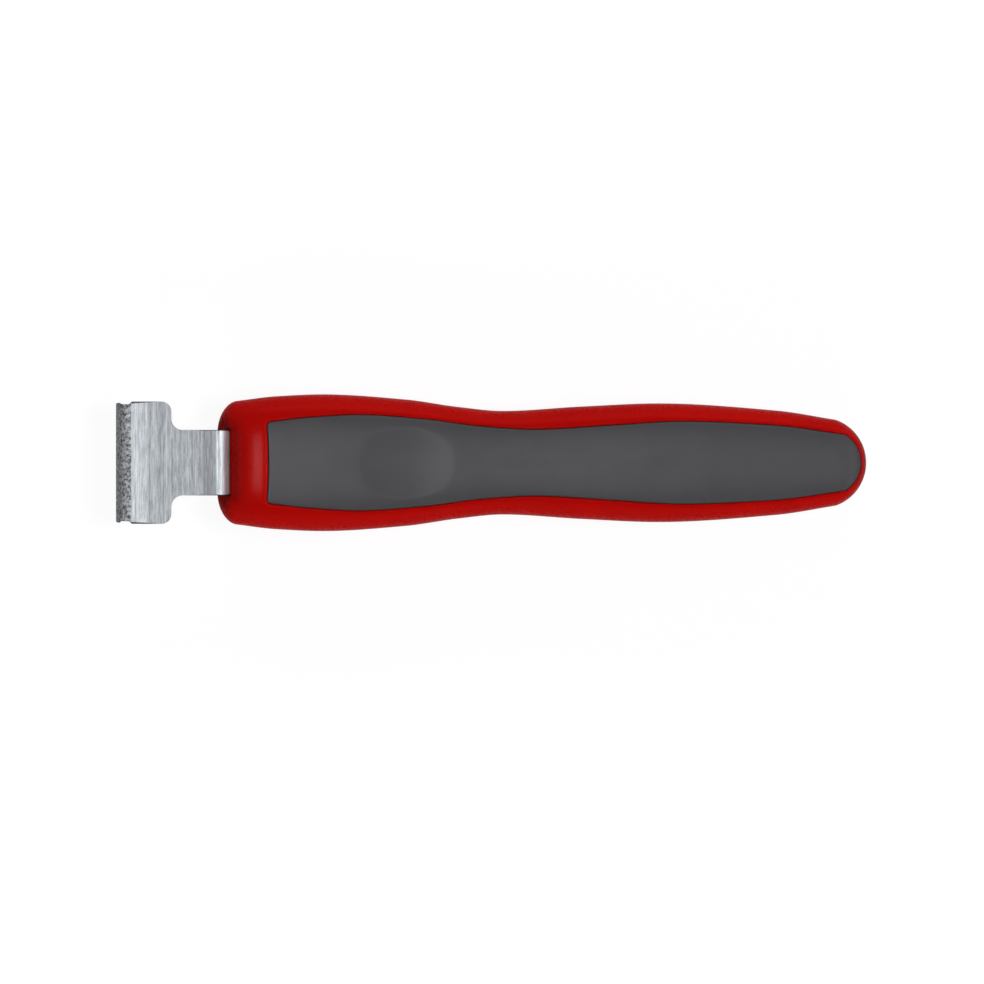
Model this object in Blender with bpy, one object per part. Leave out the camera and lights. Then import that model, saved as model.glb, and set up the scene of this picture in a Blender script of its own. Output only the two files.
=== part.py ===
"""Hand scraper: a hooked steel blade, its cranked tang clamped in a two-shell handle with soft grip panels.

The tool lies along X with its blade towards -X, its thumb side up and its flat underside at height zero.
Lengths are in metres.
"""

import math

import bmesh
import bpy
from mathutils import Vector

MM = 0.001

# Fits shared by all pieces
FIT_GAP = 0.3 * MM
SEAM_GAP = 0.2 * MM
OVERRUN = 3.0 * MM

# Handle outline seen from above, from the nose back to the tail
HANDLE_LENGTH = 132.8 * MM
NOSE_WIDTH = 25.4 * MM
CHEEK_WIDTH = 27.2 * MM
PALM_WIDTH = 28.0 * MM
SHOULDER_WIDTH = 25.9 * MM
NECK_WIDTH = 22.9 * MM
WAIST_WIDTH = 21.2 * MM
HIP_WIDTH = 23.0 * MM
BULGE_WIDTH = 24.3 * MM
TAPER_WIDTH = 21.4 * MM
TAIL_WIDTH = 17.6 * MM
OUTLINE_PLACE_SHARES = (0.033, 0.09, 0.163, 0.29, 0.37, 0.44, 0.56, 0.68, 0.86, 0.953)
NOSE_CORNER_LENGTH = 4.05 * MM
NOSE_CORNER_WIDTH = 6.5 * MM
TAIL_TIP_WIDTH = 2.4 * MM

# Handle seen from the side, measured from the parting plane between the shells
PARTING_HEIGHT = 9.0 * MM
NOSE_RISE = 9.2 * MM
PALM_RISE = 9.5 * MM
WAIST_RISE = 8.8 * MM
BULGE_RISE = 9.1 * MM
TAIL_RISE = 7.9 * MM
RISE_PLACE_SHARES = (0.06, 0.19, 0.45, 0.69, 0.95)
UNDER_DEPTH = 9.7 * MM
TAIL_DEPTH = 8.4 * MM
DEPTH_PLACE_SHARES = (0.0, 0.8, 0.95)
NOSE_ROUND_LENGTH = 7.8 * MM
NOSE_FACE_RISE = 1.0 * MM
NOSE_FULLNESS = 2.0
SCOOP_DEPTH_SHARE = 0.55
SCOOP_START = 1.8 * MM
SCOOP_END = 6.2 * MM
SCOOP_FLOOR_WIDTH = 12.0 * MM
SCOOP_SIDE_RUN = 3.2 * MM
TAIL_ROUND_LENGTH = 6.0 * MM
TAIL_FACE_RISE = 2.4 * MM
TAIL_FULLNESS = 2.0
UPPER_SQUARENESS = 3.4
LOWER_SQUARENESS = 2.5
SHELL_WALL = 2.6 * MM

# Soft grip panels, let into both faces of the handle
PANEL_FRONT_SETBACK = 10.3 * MM
PANEL_TAIL_SETBACK = 1.15 * MM
PANEL_FRONT_WIDTH = 16.4 * MM
PANEL_CHEEK_WIDTH = 18.2 * MM
PANEL_PALM_WIDTH = 19.5 * MM
PANEL_SHOULDER_WIDTH = 17.6 * MM
PANEL_NECK_WIDTH = 14.8 * MM
PANEL_WAIST_WIDTH = 13.5 * MM
PANEL_HIP_WIDTH = 15.2 * MM
PANEL_BULGE_WIDTH = 16.8 * MM
PANEL_TAPER_WIDTH = 15.3 * MM
PANEL_TAIL_WIDTH = 11.4 * MM
PANEL_PLACE_SHARES = (0.0, 0.06, 0.155, 0.27, 0.36, 0.45, 0.58, 0.70, 0.85, 0.973)
PANEL_TIP_WIDTH = 2.0 * MM
PANEL_FRONT_BOW = 0.3 * MM
PANEL_THICKNESS = 2.0 * MM
PANEL_EDGE_ROUND = 0.35 * MM
LOWER_PANEL_PROUD = 0.2 * MM
STUD_RADIUS = 1.5 * MM
STUD_LENGTH = 1.4 * MM
DISH_PLACE = 38.7 * MM
DISH_RADIUS = 9.9 * MM
DISH_DEPTH = 0.9 * MM

# Blade strip: the lip, the head and the stem ahead of the handle
BLADE_REACH = 20.8 * MM
STRIP_THICKNESS = 1.5 * MM
STRIP_TOP_HEIGHT = 16.6 * MM
HEAD_WIDTH = 25.0 * MM
HEAD_LENGTH = 8.1 * MM
HEAD_CORNER_RADIUS = 2.0 * MM
STEM_WIDTH = 13.4 * MM
STEM_FILLET_RADIUS = 2.3 * MM
LIP_WIDTH = 24.5 * MM
LIP_LENGTH = 4.2 * MM
LIP_ANGLE = math.radians(76)
LIP_BEND_RADIUS = 1.72 * MM
LIP_GRIND_LENGTH = 2.2 * MM
LIP_EDGE_THICKNESS = 0.3 * MM
NOTCH_DEPTH = 0.9 * MM

# Blade strip: the crank and the tang inside the handle
CRANK_SETBACK = 0.1 * MM
CRANK_ANGLE = math.radians(76)
CRANK_RADIUS = 1.2 * MM
TANG_WIDTH = 10.8 * MM
TANG_LENGTH = 44.5 * MM
TANG_SHOULDER = 2.0 * MM

# Screws driven from below into the upper shell
SCREW_SHANK_RADIUS = 1.45 * MM
SCREW_HEAD_RADIUS = 2.6 * MM
SCREW_HEAD_HEIGHT = 1.5 * MM
SCREW_LENGTH = 10.2 * MM
SCREW_POINT_LENGTH = 1.4 * MM
SCREW_RECESS_WIDTH = 0.7 * MM
SCREW_RECESS_SPAN = 2.8 * MM
SCREW_RECESS_DEPTH = 0.8 * MM
TANG_SCREW_FRONT_INSET = 13.0 * MM
TANG_SCREW_REAR_INSET = 8.5 * MM
TAIL_SCREW_SETBACK = 23.8 * MM

# Inside of the shells: cored cells beside a solid spine, and locating pins
RIB_THICKNESS = 1.8 * MM
CELL_LENGTH = 8.4 * MM
CELL_CORNER_RADIUS = 1.0 * MM
CELL_RISE = 3.4 * MM
CELL_DEPTH = 3.8 * MM
SPINE_WIDTH = 8.4 * MM
CELL_LEAST_WIDTH = 2.4 * MM
PIN_RADIUS = 1.5 * MM
PIN_HEIGHT = 2.8 * MM
PIN_PLACE_SHARES = (0.33, 0.67)

# Counts of facets
NOSE_STEPS = 10
TAIL_STEPS = 7
BODY_STEPS = 24
SECTION_STEPS = 18
PANEL_STEPS = 34
PANEL_ROWS = 8
BLOCK_ROWS = 10
BEND_STEPS = 6
CORNER_STEPS = 5
ROUND_STEPS = 16
DISH_STEPS = 40
SHARP_DEGREES = 35

NOSE_X = (BLADE_REACH - HANDLE_LENGTH) / 2
QUARTER_TURN = math.pi / 2


# Curves that the outline and the side view follow

def smooth_line(places, values):
    """Return a curve through the values that never swings past them."""
    rates = [(values[i + 1] - values[i]) / (places[i + 1] - places[i]) for i in range(len(places) - 1)]
    slopes = [rates[0]]
    for before, after in zip(rates, rates[1:]):
        slopes.append(2 * before * after / (before + after) if before * after > 0 else 0)
    slopes.append(rates[-1])

    def value_at(place):
        i = 0
        while i < len(places) - 2 and place > places[i + 1]:
            i += 1
        span = places[i + 1] - places[i]
        t = (place - places[i]) / span
        rise = 3 * t ** 2 - 2 * t ** 3
        lead = (t ** 3 - 2 * t ** 2 + t) * span * slopes[i]
        trail = (t ** 3 - t ** 2) * span * slopes[i + 1]
        return (1 - rise) * values[i] + rise * values[i + 1] + lead + trail

    return value_at


def places_along(shares, length):
    return [share * length for share in shares]


def quarter_round(distance, length, fullness=2.0):
    """Height share of a quarter round: 0 at its tip, 1 where it runs out level; fullness 2 is an ellipse."""
    left = min(max(1 - distance / length, 0), 1)
    return (1 - left ** fullness) ** (1 / fullness)


def end_arc(distance, reach, half_width):
    """Half width at a distance from the tip, on the arc that is half_width wide at reach from the tip."""
    radius = (reach ** 2 + half_width ** 2) / (2 * reach)
    return math.sqrt(max(radius ** 2 - (radius - distance) ** 2, 0))


outline_width = smooth_line(
    places_along(OUTLINE_PLACE_SHARES, HANDLE_LENGTH),
    (NOSE_WIDTH, CHEEK_WIDTH, PALM_WIDTH, SHOULDER_WIDTH, NECK_WIDTH, WAIST_WIDTH, HIP_WIDTH, BULGE_WIDTH,
     TAPER_WIDTH, TAIL_WIDTH),
)
crown_rise = smooth_line(
    places_along(RISE_PLACE_SHARES, HANDLE_LENGTH),
    (NOSE_RISE, PALM_RISE, WAIST_RISE, BULGE_RISE, TAIL_RISE),
)
keel_depth = smooth_line(
    places_along(DEPTH_PLACE_SHARES, HANDLE_LENGTH),
    (UNDER_DEPTH, UNDER_DEPTH, TAIL_DEPTH),
)
PANEL_LENGTH = HANDLE_LENGTH - PANEL_FRONT_SETBACK - PANEL_TAIL_SETBACK
panel_width = smooth_line(
    places_along(PANEL_PLACE_SHARES, PANEL_LENGTH),
    (PANEL_FRONT_WIDTH, PANEL_CHEEK_WIDTH, PANEL_PALM_WIDTH, PANEL_SHOULDER_WIDTH, PANEL_NECK_WIDTH,
     PANEL_WAIST_WIDTH, PANEL_HIP_WIDTH, PANEL_BULGE_WIDTH, PANEL_TAPER_WIDTH, PANEL_TAIL_WIDTH),
)
TAIL_ARC_REACH = HANDLE_LENGTH * (1 - OUTLINE_PLACE_SHARES[-1])
PANEL_ARC_REACH = PANEL_LENGTH * (1 - PANEL_PLACE_SHARES[-1])


def half_width(distance):
    """Half width of the handle at a distance behind its nose."""
    width = outline_width(distance) / 2
    width -= NOSE_CORNER_WIDTH * (1 - quarter_round(distance, NOSE_CORNER_LENGTH))
    from_tail = HANDLE_LENGTH - distance
    if from_tail < TAIL_ARC_REACH:
        width = end_arc(from_tail, TAIL_ARC_REACH, TAIL_WIDTH / 2)
    return max(width, TAIL_TIP_WIDTH / 2)


def rounded_height(height, distance):
    """Height from the parting plane, rounded down towards the nose and the tail."""
    nose = quarter_round(distance, NOSE_ROUND_LENGTH, NOSE_FULLNESS)
    tail = quarter_round(HANDLE_LENGTH - distance, TAIL_ROUND_LENGTH, TAIL_FULLNESS)
    if nose < 1:
        return NOSE_FACE_RISE + (height - NOSE_FACE_RISE) * nose
    return TAIL_FACE_RISE + (height - TAIL_FACE_RISE) * tail


def section_share(offset, width, squareness):
    share = min(abs(offset) / width, 1)
    return (1 - share ** squareness) ** (1 / squareness)


def ease(share):
    """Smooth step from 0 to 1."""
    share = min(max(share, 0), 1)
    return share ** 2 * (3 - 2 * share)


def scoop_share(distance, offset):
    """Share of its rise that the nose loses in the hollow round the strip."""
    behind = ease((distance - SCOOP_START) / (SCOOP_END - SCOOP_START))
    beside = ease((abs(offset) - SCOOP_FLOOR_WIDTH / 2) / SCOOP_SIDE_RUN)
    return SCOOP_DEPTH_SHARE * (1 - behind) * (1 - beside)


def upper_surface(distance, offset):
    """Height of the handle's thumb side."""
    rise = rounded_height(crown_rise(distance), distance) * (1 - scoop_share(distance, offset))
    return PARTING_HEIGHT + rise * section_share(offset, half_width(distance), UPPER_SQUARENESS)


def lower_surface(distance, offset):
    """Height of the handle's finger side, flat where it would pass below the land."""
    depth = rounded_height(keel_depth(distance), distance)
    height = PARTING_HEIGHT - depth * section_share(offset, half_width(distance), LOWER_SQUARENESS)
    return max(height, LOWER_PANEL_PROUD)


def panel_half_width(distance):
    """Half width of the grip panels at a distance behind their front edge."""
    from_tip = PANEL_LENGTH - distance
    if from_tip < PANEL_ARC_REACH:
        return max(end_arc(from_tip, PANEL_ARC_REACH, PANEL_TAIL_WIDTH / 2), PANEL_TIP_WIDTH / 2)
    return panel_width(distance) / 2


def front_bow(distance, offset):
    """How far the panels' hollow front edge sets a point back, fading out behind the edge."""
    share = offset / panel_half_width(distance)
    return PANEL_FRONT_BOW * (1 - share ** 2) * max(1 - distance / PANEL_FRONT_WIDTH, 0)


# Mesh tools

def clear_scene():
    for item in list(bpy.data.objects):
        bpy.data.objects.remove(item, do_unlink=True)


def make_material(name, colour, roughness, metallic):
    material = bpy.data.materials.new(name)
    material.use_nodes = True
    shader = material.node_tree.nodes["Principled BSDF"]
    shader.inputs["Base Color"].default_value = (*colour, 1)
    shader.inputs["Roughness"].default_value = roughness
    shader.inputs["Metallic"].default_value = metallic
    material.diffuse_color = (*colour, 1)
    return material


def make_object(name, bm, material=None):
    bmesh.ops.recalc_face_normals(bm, faces=bm.faces)
    mesh = bpy.data.meshes.new(name)
    bm.to_mesh(mesh)
    bm.free()
    mesh.shade_smooth()
    mesh.set_sharp_from_angle(angle=math.radians(SHARP_DEGREES))
    item = bpy.data.objects.new(name, mesh)
    bpy.context.scene.collection.objects.link(item)
    if material:
        mesh.materials.append(material)
    return item


def make_cutter(name, bm):
    item = make_object(name, bm)
    item.hide_render = True
    item.display_type = "WIRE"
    return item


def combine(item, other, operation):
    step = item.modifiers.new(other.name, "BOOLEAN")
    step.operation = operation
    step.solver = "EXACT"
    step.object = other


def settle():
    """Carry out the cuts and joins, mark sharp edges on the results and drop the cutters."""
    graph = bpy.context.evaluated_depsgraph_get()
    pieces = [item for item in bpy.data.objects if not item.hide_render]
    cutters = [item for item in bpy.data.objects if item.hide_render]
    shapes = [bpy.data.meshes.new_from_object(item.evaluated_get(graph)) for item in pieces]
    for item, shape in zip(pieces, shapes):
        item.modifiers.clear()
        item.data = shape
        shape.shade_smooth()
        shape.set_sharp_from_angle(angle=math.radians(SHARP_DEGREES))
    for item in cutters:
        bpy.data.objects.remove(item, do_unlink=True)


def bridge_rings(bm, rings, folded=False):
    """Join rings of the same count by quads and cap the first and last.

    Folded rings run out over one surface and back under it, and get caps of upright quads.
    """
    layers = [[bm.verts.new(point) for point in ring] for ring in rings]
    count = len(layers[0])
    for front, back in zip(layers, layers[1:]):
        for i in range(count):
            j = (i + 1) % count
            bm.faces.new((front[i], front[j], back[j], back[i]))
    for layer in (layers[0], layers[-1]):
        if folded:
            for i in range(count // 2 - 1):
                bm.faces.new((layer[i], layer[i + 1], layer[-2 - i], layer[-1 - i]))
        else:
            bm.faces.new(layer)


def turned(bm, profile, centre, steps=ROUND_STEPS):
    """Turn a profile of (radius, height) points about a vertical axis through centre."""
    rings = []
    for radius, height in profile:
        ring = []
        for i in range(steps):
            turn = 2 * math.pi * i / steps
            ring.append((centre[0] + radius * math.cos(turn), centre[1] + radius * math.sin(turn), height))
        rings.append(ring)
    bridge_rings(bm, rings)


def post(bm, distance, radius, low, high, steps=ROUND_STEPS):
    """Upright cylinder on the tool's centre line."""
    turned(bm, ((radius, low), (radius, high)), (NOSE_X + distance, 0), steps)


def side_prism(bm, outline, width):
    """Prism of an outline of (x, z) points, width across."""
    rings = [[(x, side, z) for x, z in outline] for side in (-width / 2, width / 2)]
    bridge_rings(bm, rings)


# Handle shells

def shell_stations():
    """Distances behind the nose, closer together over the rounded ends."""
    nose = [NOSE_ROUND_LENGTH * (1 - math.cos(QUARTER_TURN * i / NOSE_STEPS)) for i in range(NOSE_STEPS)]
    front = NOSE_ROUND_LENGTH
    rear = HANDLE_LENGTH - TAIL_ARC_REACH
    body = [front + (rear - front) * i / BODY_STEPS for i in range(BODY_STEPS)]
    tail = [rear + TAIL_ARC_REACH * math.sin(QUARTER_TURN * i / TAIL_STEPS) for i in range(TAIL_STEPS + 1)]
    return nose + body + tail


def shell_ring(distance, surface, squareness, base_height):
    """Half section of the handle, from one side of its base over the surface to the other."""
    width = half_width(distance)
    x = NOSE_X + distance
    ring = []
    for i in range(SECTION_STEPS + 1):
        turn = QUARTER_TURN * (1 - 2 * i / SECTION_STEPS)
        reach = abs(math.sin(turn)) ** (2 / squareness)
        offset = math.copysign(reach, turn) * width
        height = base_height if i in (0, SECTION_STEPS) else surface(distance, offset)
        ring.append((x, offset, height))
    return ring


def half_handle(name, surface, squareness, base_height, material=None):
    bm = bmesh.new()
    bridge_rings(bm, [shell_ring(d, surface, squareness, base_height) for d in shell_stations()])
    return make_object(name, bm, material)


def panel_mesh(bm, grow, top, bottom, edge_round):
    """Panel between two surfaces, given as heights above each point, with its plan grown by a gap.

    The panel's outermost row drops by edge_round, one edge_round in from the side.
    """
    length = PANEL_LENGTH + 2 * grow
    rear = PANEL_LENGTH - PANEL_ARC_REACH
    steps = [rear * i / PANEL_STEPS for i in range(PANEL_STEPS)]
    steps += [rear + PANEL_ARC_REACH * math.sin(QUARTER_TURN * i / TAIL_STEPS) for i in range(TAIL_STEPS + 1)]
    steps = [steps[0], edge_round] + steps[1:] if edge_round else steps
    rings = []
    for step in steps:
        distance = PANEL_FRONT_SETBACK - grow + step * length / PANEL_LENGTH
        half = panel_half_width(step) + grow
        shares = [2 * i / PANEL_ROWS - 1 for i in range(PANEL_ROWS + 1)]
        offsets = [half * share for share in shares]
        if edge_round:
            offsets = [-half] + [offset * (half - edge_round) / half for offset in offsets] + [half]
        drop_all = edge_round if step in (steps[0], steps[-1]) else 0
        upper = []
        lower = []
        for offset in offsets:
            drop = edge_round if abs(offset) == half else drop_all
            along = distance + front_bow(step, offset)
            upper.append((NOSE_X + along, offset, top(along, offset, drop)))
            lower.append((NOSE_X + along, offset, bottom(along, offset)))
        rings.append(upper + lower[::-1])
    bridge_rings(bm, rings, folded=True)


def upper_panel(material):
    bm = bmesh.new()
    panel_mesh(
        bm, 0,
        lambda d, y, drop: upper_surface(d, y) - drop,
        lambda d, y: upper_surface(d, y) - PANEL_THICKNESS,
        PANEL_EDGE_ROUND,
    )
    panel = make_object("grip_panel_upper", bm, material)
    combine(panel, dish_cutter(), "DIFFERENCE")
    for distance in stud_places():
        floor = upper_surface(distance, 0) - PANEL_THICKNESS
        combine(panel, stud("upper_stud", distance, floor - STUD_LENGTH, floor + STUD_LENGTH / 2), "UNION")
    return panel


def lower_panel(material):
    bm = bmesh.new()
    panel_mesh(
        bm, 0,
        lambda d, y, drop: lower_surface(d, y) - LOWER_PANEL_PROUD + drop,
        lambda d, y: lower_surface(d, y) - LOWER_PANEL_PROUD + PANEL_THICKNESS,
        PANEL_EDGE_ROUND,
    )
    panel = make_object("grip_panel_lower", bm, material)
    for distance in stud_places():
        floor = lower_surface(distance, 0) - LOWER_PANEL_PROUD + PANEL_THICKNESS
        combine(panel, stud("lower_stud", distance, floor - STUD_LENGTH / 2, floor + STUD_LENGTH), "UNION")
    return panel


def stud(name, distance, low, high):
    bm = bmesh.new()
    post(bm, distance, STUD_RADIUS, low, high)
    return make_cutter(name, bm)


def dish_ball():
    """Radius, distance and height of the ball that hollows the thumb dish, square to the crown there."""
    radius = (DISH_RADIUS ** 2 + DISH_DEPTH ** 2) / (2 * DISH_DEPTH)
    ahead = upper_surface(DISH_PLACE - DISH_RADIUS / 2, 0)
    behind = upper_surface(DISH_PLACE + DISH_RADIUS / 2, 0)
    fall = (ahead - behind) / DISH_RADIUS
    lift = radius - DISH_DEPTH
    return radius, DISH_PLACE + lift * fall, (ahead + behind) / 2 + lift


def dish_cutter():
    """Cap of the dish's ball, from its lowest point to above the panel."""
    radius, distance, height = dish_ball()
    floor = height - radius
    widest = math.acos(1 - (DISH_DEPTH + OVERRUN) / radius)
    profile = []
    for i in range(1, CORNER_STEPS * 2 + 1):
        swing = widest * i / (CORNER_STEPS * 2)
        profile.append((radius * math.sin(swing), floor + radius * (1 - math.cos(swing))))
    bm = bmesh.new()
    turned(bm, profile, (NOSE_X + distance, 0), DISH_STEPS)
    return make_cutter("dish_cutter", bm)


def panel_pocket(name, top, bottom):
    bm = bmesh.new()
    panel_mesh(bm, FIT_GAP, top, bottom, 0)
    return make_cutter(name, bm)


def stud_sockets(name, surface, sign):
    """Sockets for the panel studs; sign is the way from the panel into the handle, up or down."""
    bm = bmesh.new()
    for distance in stud_places():
        seat = surface(distance, 0) + sign * PANEL_THICKNESS
        end = seat + sign * (STUD_LENGTH + FIT_GAP)
        start = seat - sign * PANEL_THICKNESS / 2
        post(bm, distance, STUD_RADIUS + FIT_GAP, min(start, end), max(start, end))
    return make_cutter(name, bm)


def cell_outline(front, rear, inner, outer, side):
    """Rounded rectangle of one cored cell."""
    corners = (
        (rear - CELL_CORNER_RADIUS, outer - CELL_CORNER_RADIUS, 0),
        (front + CELL_CORNER_RADIUS, outer - CELL_CORNER_RADIUS, 1),
        (front + CELL_CORNER_RADIUS, inner + CELL_CORNER_RADIUS, 2),
        (rear - CELL_CORNER_RADIUS, inner + CELL_CORNER_RADIUS, 3),
    )
    outline = []
    for x, y, quarter in corners:
        for i in range(3):
            turn = QUARTER_TURN * (quarter + i / 2)
            reach = CELL_CORNER_RADIUS
            outline.append((NOSE_X + x + reach * math.cos(turn), side * (y + reach * math.sin(turn))))
    return outline


def cored_cells(name, low, high):
    """Cells that lighten a shell, in two rows beside the spine, with a rib between neighbours."""
    bm = bmesh.new()
    pitch = CELL_LENGTH + RIB_THICKNESS
    first = crank_end_distance()
    count = int((HANDLE_LENGTH - TAIL_ARC_REACH - first) / pitch)
    for i in range(count):
        front = first + i * pitch
        rear = front + CELL_LENGTH
        beside_tang = front < tang_end_distance() + RIB_THICKNESS
        inner = (TANG_WIDTH / 2 + FIT_GAP + RIB_THICKNESS) if beside_tang else SPINE_WIDTH / 2
        outer = min(half_width(front), half_width(rear)) - SHELL_WALL
        if outer - inner < CELL_LEAST_WIDTH:
            continue
        for side in (-1, 1):
            outline = cell_outline(front, rear, inner, outer, side)
            bridge_rings(bm, [[(x, y, z) for x, y in outline] for z in (low, high)])
    return make_cutter(name, bm)


def tang_screw_places():
    """The front screw is set by the crank's end, the rear one by the tang's."""
    return (crank_end_distance() + TANG_SCREW_FRONT_INSET, tang_end_distance() - TANG_SCREW_REAR_INSET)


def tail_screw_place():
    return HANDLE_LENGTH - TAIL_SCREW_SETBACK


def screw_places():
    return tang_screw_places() + (tail_screw_place(),)


def pin_places():
    """Locating pins, spread between the rear tang screw and the tail screw."""
    start = tang_screw_places()[1]
    stretch = tail_screw_place() - start
    return [start + share * stretch for share in PIN_PLACE_SHARES]


def stud_places():
    """Panel studs: between the tang screws, in line with the pins, and behind the tail screw."""
    front, rear = tang_screw_places()
    last = (tail_screw_place() + HANDLE_LENGTH - PANEL_TAIL_SETBACK) / 2
    return [(front + rear) / 2] + pin_places() + [last]


def screw_seat(distance):
    """Height of the counterbore floor that a screw's head pulls against."""
    return lower_surface(distance, 0) + PANEL_THICKNESS + SCREW_HEAD_HEIGHT + FIT_GAP


def upper_shell(material):
    base = PARTING_HEIGHT + SEAM_GAP / 2
    shell = half_handle("handle_shell_upper", upper_surface, UPPER_SQUARENESS, base, material)
    pocket = panel_pocket(
        "upper_pocket",
        lambda d, y, drop: upper_surface(d, y) + OVERRUN,
        lambda d, y: upper_surface(d, y) - PANEL_THICKNESS - FIT_GAP,
    )
    combine(shell, pocket, "DIFFERENCE")
    combine(shell, stud_sockets("upper_sockets", upper_surface, -1), "DIFFERENCE")
    combine(shell, strip_slot("upper_slot", 1), "DIFFERENCE")
    combine(shell, cored_cells("upper_cells", base - OVERRUN, PARTING_HEIGHT + CELL_RISE), "DIFFERENCE")

    bm = bmesh.new()
    for distance in screw_places():
        tip = screw_seat(distance) + SCREW_LENGTH
        post(bm, distance, SCREW_SHANK_RADIUS + FIT_GAP, base - OVERRUN, tip + FIT_GAP)
    for distance in pin_places():
        post(bm, distance, PIN_RADIUS + FIT_GAP, base - OVERRUN, base + PIN_HEIGHT + FIT_GAP)
    combine(shell, make_cutter("upper_bores", bm), "DIFFERENCE")
    return shell


def lower_shell(material):
    base = PARTING_HEIGHT - SEAM_GAP / 2
    shell = half_handle("handle_shell_lower", lower_surface, LOWER_SQUARENESS, base, material)
    combine(shell, nose_block(), "UNION")
    pocket = panel_pocket(
        "lower_pocket",
        lambda d, y, drop: lower_surface(d, y) - OVERRUN,
        lambda d, y: lower_surface(d, y) - LOWER_PANEL_PROUD + PANEL_THICKNESS + FIT_GAP,
    )
    combine(shell, pocket, "DIFFERENCE")
    combine(shell, stud_sockets("lower_sockets", lower_surface, 1), "DIFFERENCE")
    combine(shell, strip_slot("lower_slot", -1), "DIFFERENCE")
    combine(shell, cored_cells("lower_cells", PARTING_HEIGHT - CELL_DEPTH, base + OVERRUN), "DIFFERENCE")

    bm = bmesh.new()
    for distance in screw_places():
        seat = screw_seat(distance)
        bore = SCREW_SHANK_RADIUS + FIT_GAP
        head = SCREW_HEAD_RADIUS + FIT_GAP
        mouth = seat - SCREW_HEAD_HEIGHT - OVERRUN
        profile = ((head, mouth), (head, seat), (bore, seat), (bore, base + OVERRUN))
        turned(bm, profile, (NOSE_X + distance, 0))
    combine(shell, make_cutter("lower_bores", bm), "DIFFERENCE")

    bm = bmesh.new()
    for distance in pin_places():
        post(bm, distance, PIN_RADIUS, base - PIN_HEIGHT / 2, base + PIN_HEIGHT)
    combine(shell, make_cutter("lower_pins", bm), "UNION")
    return shell


# Blade

def bend_segments():
    """Stretches of the strip from the lip's edge to the tang's end: (length, turn), the turn in radians."""
    drop = STRIP_TOP_HEIGHT - STRIP_THICKNESS / 2 - PARTING_HEIGHT
    bend_drop = CRANK_RADIUS * (1 - math.cos(CRANK_ANGLE))
    slope = (drop - 2 * bend_drop) / math.sin(CRANK_ANGLE)
    outer_radius = LIP_BEND_RADIUS + STRIP_THICKNESS / 2
    lip_reach = LIP_LENGTH * math.cos(LIP_ANGLE) + outer_radius * math.sin(LIP_ANGLE)
    return (
        (LIP_LENGTH, 0),
        (LIP_BEND_RADIUS * LIP_ANGLE, -LIP_ANGLE),
        (BLADE_REACH + CRANK_SETBACK - lip_reach, 0),
        (CRANK_RADIUS * CRANK_ANGLE, -CRANK_ANGLE),
        (slope, 0),
        (CRANK_RADIUS * CRANK_ANGLE, CRANK_ANGLE),
        (TANG_LENGTH, 0),
    )


def segment_starts():
    starts = [0]
    for length, _ in bend_segments():
        starts.append(starts[-1] + length)
    return starts


def strip_point(along, rise):
    """Place on the bent strip of a point along the flat blank and rise above its middle surface."""
    x = 0
    z = 0
    heading = LIP_ANGLE
    for index, (length, turn) in enumerate(bend_segments()):
        last = index == len(bend_segments()) - 1
        run = along if last else min(along, length)
        if turn:
            radius = length / turn
            swing = heading + run / radius
            x += radius * (math.sin(swing) - math.sin(heading))
            z += radius * (math.cos(heading) - math.cos(swing))
            heading = swing
        else:
            x += run * math.cos(heading)
            z += run * math.sin(heading)
        along -= run
        if along <= 0 and not last:
            break
    return x - rise * math.sin(heading), z + rise * math.cos(heading)


def strip_place(along, rise):
    """The same place in the tool's frame: the lip's outer face ends at the tool's front."""
    x, z = strip_point(along, rise)
    crank_x, crank_z = strip_point(segment_starts()[3], 0)
    shift_x = NOSE_X + CRANK_SETBACK - crank_x
    shift_z = STRIP_TOP_HEIGHT - STRIP_THICKNESS / 2 - crank_z
    return x + shift_x, z + shift_z


def crank_end_distance():
    """Distance behind the nose at which the tang lies level."""
    return strip_place(segment_starts()[6], 0)[0] - NOSE_X


def tang_end_distance():
    return crank_end_distance() + TANG_LENGTH


def arc_points(centre, radius, start, turn):
    points = []
    for i in range(CORNER_STEPS + 1):
        angle = start + turn * i / CORNER_STEPS
        points.append((centre[0] + radius * math.cos(angle), centre[1] + radius * math.sin(angle)))
    return points


def blank_side():
    """One edge of the flat blank, as (along, half width) from the lip's edge to the tang's end."""
    starts = segment_starts()
    notch_centre = (starts[1] + starts[2]) / 2
    notch_half = (starts[2] - starts[1]) / 2
    side = [(0, LIP_WIDTH / 2)]
    for i in range(2 * CORNER_STEPS + 1):
        turn = math.pi * i / (2 * CORNER_STEPS)
        mean = LIP_WIDTH / 2 if i <= CORNER_STEPS else HEAD_WIDTH / 2
        side.append((notch_centre - notch_half * math.cos(turn), mean - NOTCH_DEPTH * math.sin(turn)))
    head_end = starts[2] + HEAD_LENGTH
    corner = (head_end - HEAD_CORNER_RADIUS, HEAD_WIDTH / 2 - HEAD_CORNER_RADIUS)
    side += arc_points(corner, HEAD_CORNER_RADIUS, QUARTER_TURN, -QUARTER_TURN)
    fillet = (head_end + STEM_FILLET_RADIUS, STEM_WIDTH / 2 + STEM_FILLET_RADIUS)
    side += arc_points(fillet, STEM_FILLET_RADIUS, math.pi, QUARTER_TURN)
    tang_start = starts[6] + TANG_SHOULDER
    narrowing = (STEM_WIDTH - TANG_WIDTH) / 2
    side += [
        (tang_start, STEM_WIDTH / 2),
        (tang_start + narrowing, TANG_WIDTH / 2),
        (starts[7] - TANG_SHOULDER, TANG_WIDTH / 2),
        (starts[7], TANG_WIDTH / 2 - TANG_SHOULDER),
    ]
    return side


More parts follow.
